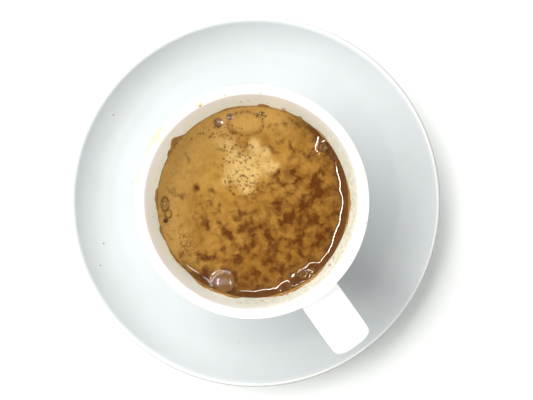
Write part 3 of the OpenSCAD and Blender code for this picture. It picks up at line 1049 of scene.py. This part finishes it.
def residue_patch(start, end, tall, seed):
    """A thin skin of foam on the inner wall with an uneven upper edge."""
    def points(u, v):
        c, s = polar(mix(start, end, u))
        ragged = 0.72 + 0.6 * noise.fractal((c * 9, s * 9, seed), 1, 2, 3)
        high = CREMA_CLIMB + tall * max(0.08, ragged) * math.sin(math.pi * u) ** 0.7
        z = mix(CREMA_Z + 0.2, high, v)
        lump = 1 + 0.35 * noise.noise((c * DRINK_R, s * DRINK_R, z * 0.9))
        depth = FILM_T * lump * math.sqrt(max(0, 1 - v ** 3)) * min(1, 8 * u, 8 * (1 - u))
        wall = float(hollow_r(z))
        return [[r * c, r * s, z] for r in (wall - depth, wall + 0.05)]
    return slab(max(14, int((end - start) * 2.4)), points)


def add_residue():
    parts = [residue_patch(start, end, tall, 50.0 + i) for i, (start, end, tall) in enumerate(WALL_RESIDUE)]
    return make_piece("wall_residue", *gather(parts), residue_material(), "crema")


def blob(centre, normal, size, stretch=1, turn=0, flat=0.35, seed=0, turns=14, steps=5):
    """A small uneven drop lying on a surface, sunk a little into it."""
    up = Vector(normal).normalized()
    side = up.orthogonal().normalized()
    side.rotate(Quaternion(up, math.radians(turn)))
    other = up.cross(side)
    rings = []
    for k in range(2 * steps + 1):
        a = math.pi * k / (2 * steps)
        ring = []
        for j in range(1 if k in (0, 2 * steps) else turns):
            t = math.tau * j / turns
            wobble = 1 + 0.22 * noise.noise((math.cos(t) * 1.4, math.sin(t) * 1.4, seed))
            r = size * math.sin(a) * wobble
            p = Vector(centre) + side * (r * math.cos(t) * stretch) + other * (r * math.sin(t))
            ring.append(list(p + up * (size * flat * math.cos(a))))
        rings.append(ring)
    verts, rings = numbered(rings)
    return verts, faces_between(rings, turns, inward=True)


def wall_point(bearing, z):
    """A point on the inner wall and the direction away from it."""
    c, s = polar(bearing)
    r = float(hollow_r(z))
    slope = float(hollow_r(z + 0.5) - hollow_r(z - 0.5))
    return (r * c, r * s, z), (-c, -s, slope)


def lip_point(bearing, radius):
    """A point on top of the lip and its normal there."""
    c, s = polar(bearing)
    off = radius - lip_centre[0]
    high = math.sqrt(max(lip_r ** 2 - off ** 2, 0.01))
    return (radius * c, radius * s, CUP_Z + lip_centre[1] + high), (off * c, off * s, high)


def saucer_point(radius, bearing):
    """A point on the saucer's upper side, read from its profile, and its normal."""
    count = WELL_STEPS + 2 * (ROUND_STEPS + 1) + WING_STEPS + EDGE_STEPS
    top = saucer_profile()[::-1][:count]
    ahead = 0.5
    z, next_z = np.interp([radius, radius + ahead], [p[0] for p in top], [p[1] for p in top])
    slope = float(next_z - z) / ahead
    c, s = polar(bearing)
    return (radius * c, radius * s, float(z)), (-slope * c, -slope * s, 1)


# Brown dots on the inner wall: (bearing, height above the level, radius).
WALL_DOTS = [
    (15, 4.5, 0.45), (345, 4, 0.45), (318, 6.5, 0.25), (151, 5.5, 0.28), (147, 6.2, 0.25), (126, 3, 0.42),
    (122, 3.4, 0.2), (210, 5, 0.18), (96, 4.2, 0.2), (270, 3.4, 0.2), (60, 3, 0.18), (200, 7, 0.16),
    (330, 4.4, 0.3), (20, 3, 0.3), (6, 2.8, 0.25), (352, 3.4, 0.22), (282, 4, 0.18), (222, 4, 0.2),
    (165, 4, 0.16), (136, 5, 0.2), (340, 5.4, 0.16), (28, 5.6, 0.18), (50, 4.6, 0.16), (243, 5.4, 0.2),
]
# Specks on the lip: (bearing, radius from the axis, radius of the speck).
LIP_DOTS = [
    (173, 28.8, 0.3), (140, 28.8, 0.2), (44, 30.5, 0.2), (159, 29, 0.16), (71, 30.4, 0.15),
    (24, 30.3, 0.15),
]
# Specks on the saucer: (radius from the axis, bearing, radius of the speck).
SAUCER_DOTS = [
    (54.2, 203, 0.22), (51.6, 250, 0.22), (54.6, 257, 0.2), (41, 226, 0.12), (38, 128, 0.12),
    (47, 318, 0.14),
]
# x and y of a speck on the handle.
HANDLE_DOT = (44.4, -1.6)


def add_specks():
    parts = []
    for i, (bearing, high, size) in enumerate(WALL_DOTS):
        parts.append(blob(*wall_point(bearing, CREMA_Z + high), size, 1.2, 90 * (i % 3), seed=i * 1.7))
    for i, (bearing, radius, size) in enumerate(LIP_DOTS):
        parts.append(blob(*lip_point(bearing, radius), size, 1.1, 40 * i, seed=30 + i * 1.3))
    for i, (radius, bearing, size) in enumerate(SAUCER_DOTS):
        parts.append(blob(*saucer_point(radius, bearing), size, 1.3, 60 * i, seed=60 + i * 1.1))
    parts.append(blob((*HANDLE_DOT, CUP_TOP - HANDLE_DROP - 0.05), (0, 0, 1), 0.16, seed=90))
    return make_piece("coffee_specks", *gather(parts), speck_material(), "espresso")


def lip_patch(start, end, low, high, thick, seed):
    """A thin uneven skin on the lip, between two bearings and two angles round the lip's section."""
    def points(u, v):
        c, s = polar(mix(start, end, u))
        angle = mix(low, high, v)
        ragged = 0.35 * noise.fractal((c * 14, s * 14, seed + angle / 40), 1, 2, 3)
        off = math.hypot(2 * u - 1, 2 * v - 1) + ragged
        grow = thick * float(fade(1, 0.55, off)) - 0.03
        sin_up = polar(angle)[1]
        if sin_up > 0.1:
            grow = min(grow, (lip_r - 0.004) / sin_up - lip_r)
        ends = [lip_centre + r * polar(angle) for r in (lip_r - 0.1, lip_r + grow)]
        return [[r * c, r * s, z + CUP_Z] for r, z in ends]
    return slab(max(12, int((end - start) * 3)), points)


# Dried drips: (first bearing, last bearing, lowest and highest angle round the lip's section, thickness).
LIP_DRIPS = [
    (194, 207, -25, 88, 0.20), (206, 212, 5, 70, 0.12), (170.5, 175, 92, 140, 0.12),
    (218, 231, 10, 62, 0.07),
]


def add_lip_drip():
    """Pale drips dried on the lip, brown at their outer end."""
    parts = [lip_patch(*drip, 110.0 + i) for i, drip in enumerate(LIP_DRIPS)]
    drip = make_piece("lip_drip", *gather(parts), drip_material(), "crema")
    x, y, _ = places(drip.data)
    paint(drip.data, "edge", fade(30.2, 31.1, np.hypot(x, y)))
    return drip


# ---- Stage, light and camera ----

# Lamps as the cup sees them: (bearing, angle off vertical, distance in metres, size in metres, power).
KEY = (204.5, 40, 1.25, (1.9, 0.85), 33)
KEY_COLOUR = (1, 0.995, 0.98)
# A weak light from the right that only the cup and what is in it receive.
FILL = (24.5, 38, 0.9, (0.7, 0.5), 4.2)
# Narrow warm strips whose reflections draw the bright line along the drink's edge.
STRIP_COLOUR = (1, 0.94, 0.84)
STRIPS = [
    (232, 14.5, 0.62, (0.17, 0.014), 1.1), (187, 14.5, 0.62, (0.15, 0.008), 0.4),
    (141, 14.5, 0.62, (0.15, 0.007), 0.3),
]
# Windows that only the bubbles mirror.
WINDOWS = [
    (206, 48, 0.62, (0.15, 0.10), 44), (240, 38, 0.62, (0.08, 0.12), 28), (62, 44, 0.62, (0.11, 0.08), 24),
]
# The room's brightness round the sides and straight overhead.
ROOM_SIDE, ROOM_TOP = 0.68, 0.12


def area_light(name, bearing, zenith, distance, size, power, colour=(1, 1, 1)):
    """A rectangle of light seen from the cup at a bearing and an angle off vertical, facing the drink."""
    light = bpy.data.lights.new(name, "AREA")
    light.shape = "RECTANGLE"
    light.size, light.size_y = size
    light.energy = power
    light.color = colour
    lamp = linked(name, light)
    along, high = distance * polar(90 - zenith)
    away = Vector((*(along * polar(bearing)), high))
    lamp.location = away + Vector((0, 0, CREMA_Z * MM))
    lamp.rotation_euler = (-away).to_track_quat("-Z", "Y").to_euler()
    lamp.visible_camera = False
    return lamp


def shine_on(lamp, *pieces):
    """Lets a lamp light only these pieces."""
    receivers = bpy.data.collections.new(lamp.name + "_on")
    for piece in pieces:
        receivers.objects.link(piece)
    lamp.light_linking.receiver_collection = receivers


def mirror_on(lamp, *pieces):
    """Lets a lamp show only as a reflection, and only in these pieces."""
    shine_on(lamp, *pieces)
    lamp.visible_diffuse = False


def add_light(cup, saucer, crema, bubbles, residue):
    """A broad soft light from the left, a weak one from the right, and what glaze and drink mirror."""
    area_light("key", *KEY, KEY_COLOUR).visible_glossy = False
    mirror_on(area_light("key_mirror", *KEY), cup, saucer)
    for i, strip in enumerate(STRIPS):
        mirror_on(area_light(f"strip_{i}", *strip, STRIP_COLOUR), crema, bubbles, residue)
    for i, window in enumerate(WINDOWS):
        mirror_on(area_light(f"window_{i}", *window), bubbles)
    fill = area_light("fill", *FILL)
    fill.visible_glossy = False
    shine_on(fill, cup, crema, bubbles, residue)


def add_room():
    """A bright room round the sides that is dark overhead."""
    world = bpy.data.worlds.new("soft_room")
    bpy.context.scene.world = world
    world.use_nodes = True
    tree = world.node_tree
    coords = tree.nodes.new("ShaderNodeTexCoord")
    split = tree.nodes.new("ShaderNodeSeparateXYZ")
    ramp = smooth_ramp(tree, 0.72, 0.95, ROOM_SIDE, ROOM_TOP)
    background = tree.nodes["Background"]
    background.inputs["Color"].default_value = rgb(1, 1, 1)
    tree.links.new(coords.outputs["Generated"], split.inputs[0])
    tree.links.new(split.outputs["Z"], ramp.inputs["Value"])
    tree.links.new(ramp.outputs["Result"], background.inputs["Strength"])


def add_floor():
    size = 4000
    corners = [(-size, -size, 0), (size, -size, 0), (size, size, 0), (-size, size, 0)]
    floor = solid_object("floor", corners, [(0, 1, 2, 3)])
    m = Nodes("floor_paper")
    colour = m.blend(m.noise(40, 2), rgb(0.85, 0.865, 0.845), rgb(0.835, 0.85, 0.83))
    m.set(Base_Color=colour, Roughness=0.9, Emission_Color=rgb(1, 1, 1), Emission_Strength=0.10)
    wear(floor, m.material)


def add_camera():
    data = bpy.data.cameras.new("camera")
    data.lens, data.sensor_width = LENS, SENSOR
    camera = linked("camera", data)
    x, y = from_view(CAMERA_RIGHT, CAMERA_UP)
    camera.location = (x * MM, y * MM, CAMERA_Z * MM)
    camera.rotation_euler = (0, 0, math.radians(VIEW_TURN))
    bpy.context.scene.camera = camera


bpy.context.scene.view_settings.view_transform = "Standard"
add_camera()
add_floor()
add_specks()
add_lip_drip()
add_light(add_cup(), add_saucer(), add_crema(), add_bubbles(), add_residue())
add_room()
wear(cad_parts["coffee"], espresso_material())
